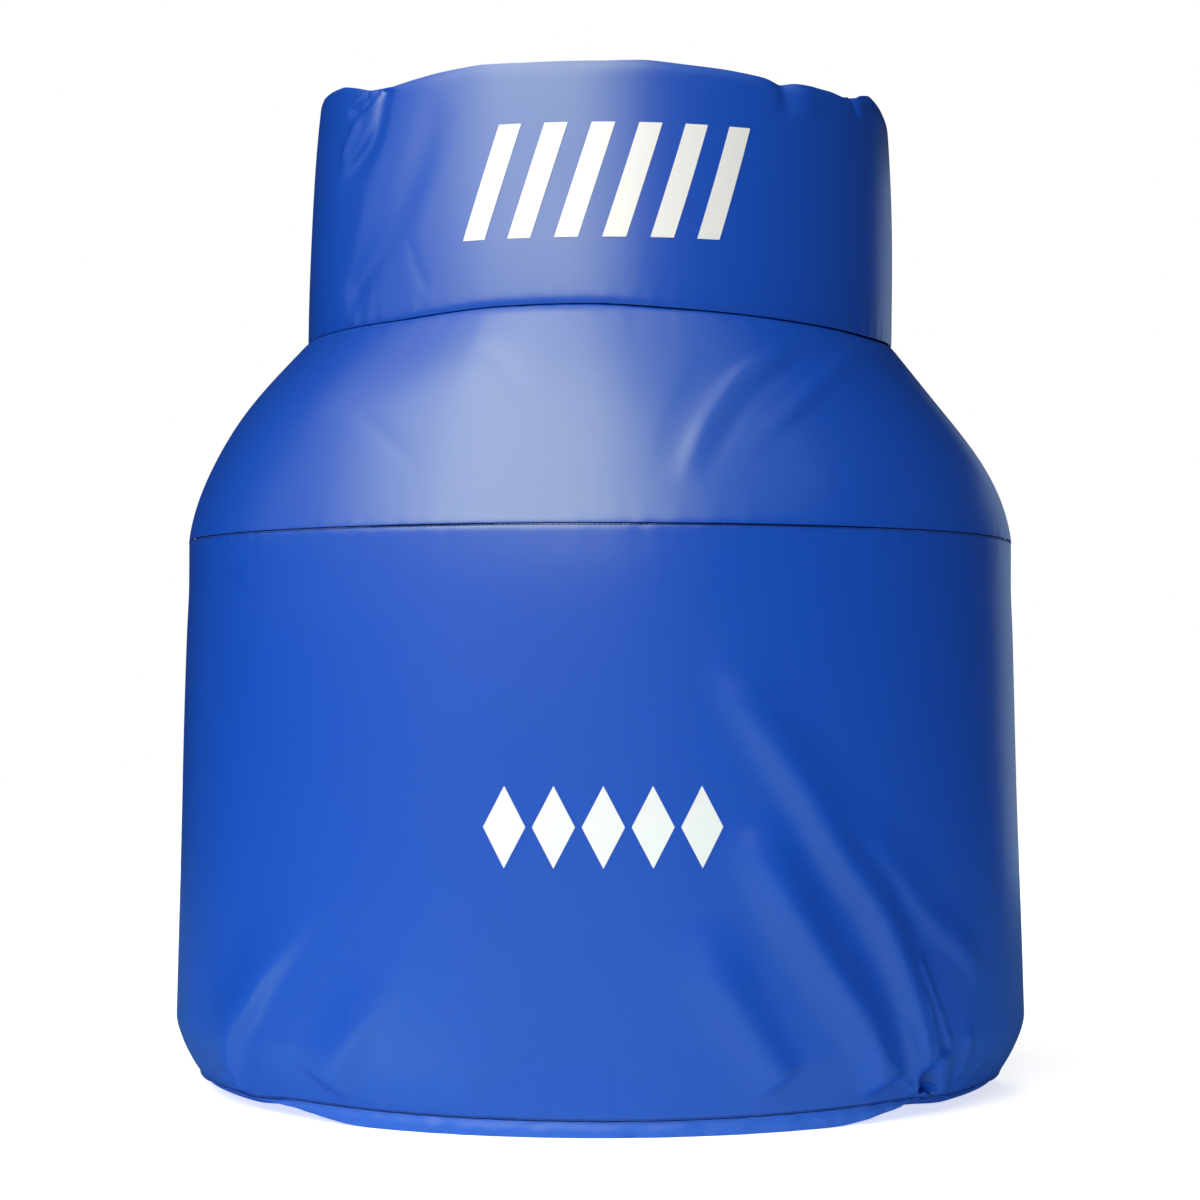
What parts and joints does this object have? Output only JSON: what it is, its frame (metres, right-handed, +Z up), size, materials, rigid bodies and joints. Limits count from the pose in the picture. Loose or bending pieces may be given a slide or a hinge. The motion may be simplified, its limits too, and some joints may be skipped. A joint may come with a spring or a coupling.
{
  "type": "ruck pad",
  "caption": "Curved foam ruck pad in a glossy vinyl cover, open at the back, with rear grips, belts with side-release buckles, a zipped lining and a top grab loop.",
  "frame": {"origin": "centre of the overall box at the flat bottom", "axes": "+Z up, the convex front faces -Y, +X to the right as seen from the front"},
  "size_m": [0.6986, 0.378, 0.8077],
  "materials": {
    "blue_vinyl": "satin",
    "lining_vinyl": "matte",
    "foam": "matte",
    "webbing": "matte",
    "rubber": "matte",
    "acetal": "satin",
    "brass": "satin"
  },
  "bodies": {
    "pad": {"body_front_panel": "blue_vinyl", "shoulder_front_panel": "blue_vinyl", "neck_front_panel": "blue_vinyl", "top_gusset": "blue_vinyl", "bottom_gusset": "blue_vinyl", "left_side_gusset": "blue_vinyl", "right_side_gusset": "blue_vinyl", "body_back_panel_left": "lining_vinyl", "body_back_panel_right": "lining_vinyl", "shoulder_back_panel": "lining_vinyl", "neck_back_panel": "lining_vinyl", "foam_outer_body": "foam", "foam_outer_shoulder": "foam", "foam_outer_neck": "foam", "foam_inner_left": "foam", "foam_inner_spine": "foam", "foam_inner_right": "foam", "zip_tape_left": "webbing", "zip_tape_right": "webbing", "zip_teeth_left": "brass", "zip_teeth_right": "brass", "zip_bottom_stop": "brass", "zip_top_stop": "brass", "top_grab_loop": "webbing", "left_grip_webbing": "webbing", "right_grip_webbing": "webbing", "left_grip_sleeve": "rubber", "right_grip_sleeve": "rubber", "left_lower_vent_eyelet": "brass", "left_upper_vent_eyelet": "brass", "right_lower_vent_eyelet": "brass", "right_upper_vent_eyelet": "brass", "chest_anchor_patch_left": "lining_vinyl", "chest_anchor_patch_right": "lining_vinyl", "chest_strap_left": "webbing", "chest_strap_right": "webbing", "chest_buckle_female": "acetal", "waist_anchor_patch_left": "lining_vinyl", "waist_anchor_patch_right": "lining_vinyl", "waist_strap_left": "webbing", "waist_strap_right": "webbing", "waist_buckle_female": "acetal"},
    "zip_slider": {"zip_slider": "brass"},
    "zip_pull": {"zip_pull": "brass"},
    "chest_buckle_male": {"chest_buckle_male": "acetal", "chest_latch_arm_upper": "acetal", "chest_latch_arm_lower": "acetal"},
    "waist_buckle_male": {"waist_buckle_male": "acetal", "waist_latch_arm_upper": "acetal", "waist_latch_arm_lower": "acetal"},
    "chest_keeper": {"chest_strap_keeper": "rubber"},
    "waist_keeper": {"waist_strap_keeper": "rubber"}
  },
  "joints": [
    {"name": "zip_slide", "type": "slide", "parent": "pad", "child": "zip_slider", "axis": [0, 0, 1], "range_m": [-0.331, 0], "deforming": ["zip_teeth_left", "zip_teeth_right"]},
    {"name": "zip_pull_swing", "type": "hinge", "parent": "zip_slider", "child": "zip_pull", "pos_m": [0, -0.0867, 0.402], "axis": [1, 0, 0], "range_deg": [0, 150]},
    {"name": "chest_buckle_release", "type": "slide", "parent": "pad", "child": "chest_buckle_male", "axis": [1, 0, 0], "range_m": [0, 0.03], "deforming": ["chest_latch_arm_upper", "chest_latch_arm_lower", "chest_strap_right"]},
    {"name": "waist_buckle_release", "type": "slide", "parent": "pad", "child": "waist_buckle_male", "axis": [1, 0, 0], "range_m": [0, 0.03], "deforming": ["waist_latch_arm_upper", "waist_latch_arm_lower", "waist_strap_right"]},
    {"name": "chest_keeper_slide", "type": "slide", "parent": "pad", "child": "chest_keeper", "axis": [1, 0, 0], "range_m": [-0.032, 0.027]},
    {"name": "waist_keeper_slide", "type": "slide", "parent": "pad", "child": "waist_keeper", "axis": [1, 0, 0], "range_m": [-0.032, 0.027]}
  ]
}
